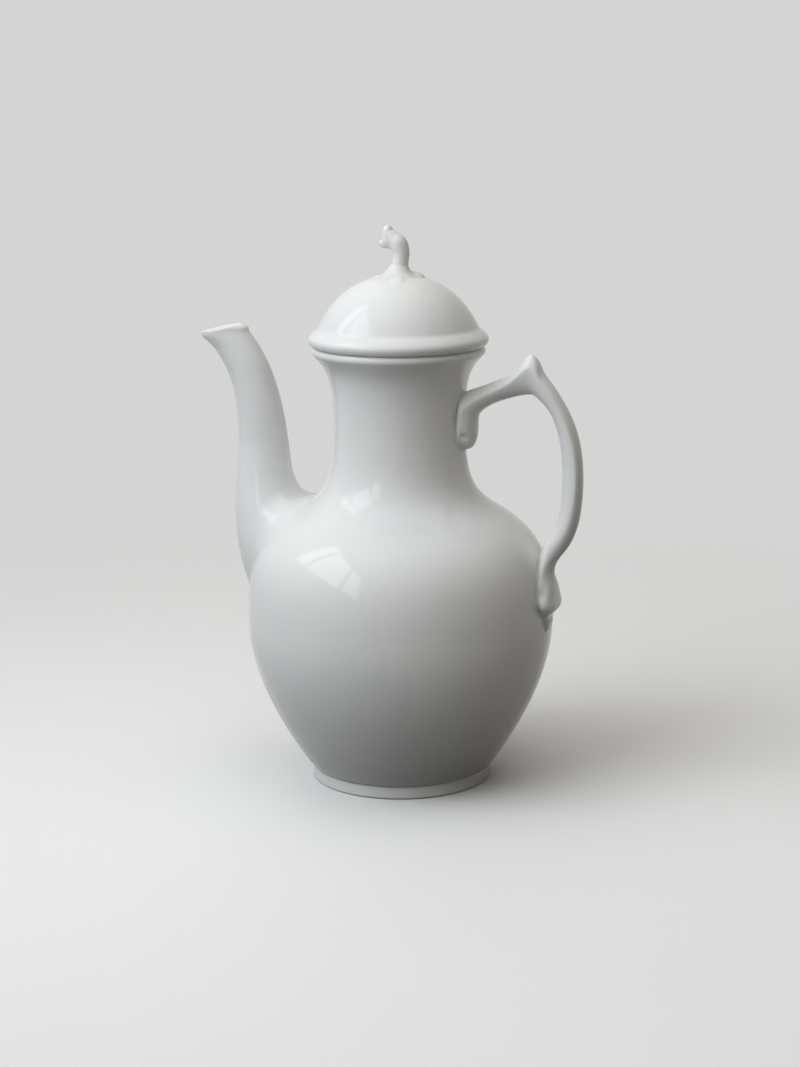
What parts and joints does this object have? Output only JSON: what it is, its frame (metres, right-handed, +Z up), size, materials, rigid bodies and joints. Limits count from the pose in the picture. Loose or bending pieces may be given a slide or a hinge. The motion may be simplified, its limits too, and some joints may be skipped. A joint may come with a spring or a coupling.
{
  "type": "coffee pot",
  "caption": "Tall porcelain coffee pot with a round belly, a narrow neck, an upright spout, a ridged handle with a thumb spur, and a domed lift-off lid with a twig knob.",
  "frame": {"origin": "centre of the foot ring's resting plane, on the pot's axis", "axes": "+Z up along the pot's axis, +X towards the handle, -X towards the spout, +Y across"},
  "size_m": [0.1797, 0.138, 0.2509],
  "materials": {
    "glaze_pot": "glossy clear glaze over white porcelain",
    "glaze_lid": "glossy clear glaze over white porcelain"
  },
  "bodies": {
    "pot": {"pot_body": "glaze_pot", "foot_ring": "glaze_pot", "spout": "glaze_pot", "handle": "glaze_pot"},
    "lid": {"lid": "glaze_lid", "lid_finial": "glaze_lid", "lid_leaf_right": "glaze_lid", "lid_leaf_back": "glaze_lid", "lid_leaf_left": "glaze_lid", "lid_leaf_front": "glaze_lid"}
  },
  "joints": [
    {"name": "lid_lift", "type": "slide", "parent": "pot", "child": "lid", "axis": [0, 0, 1], "range_m": [0, 0.08]}
  ]
}
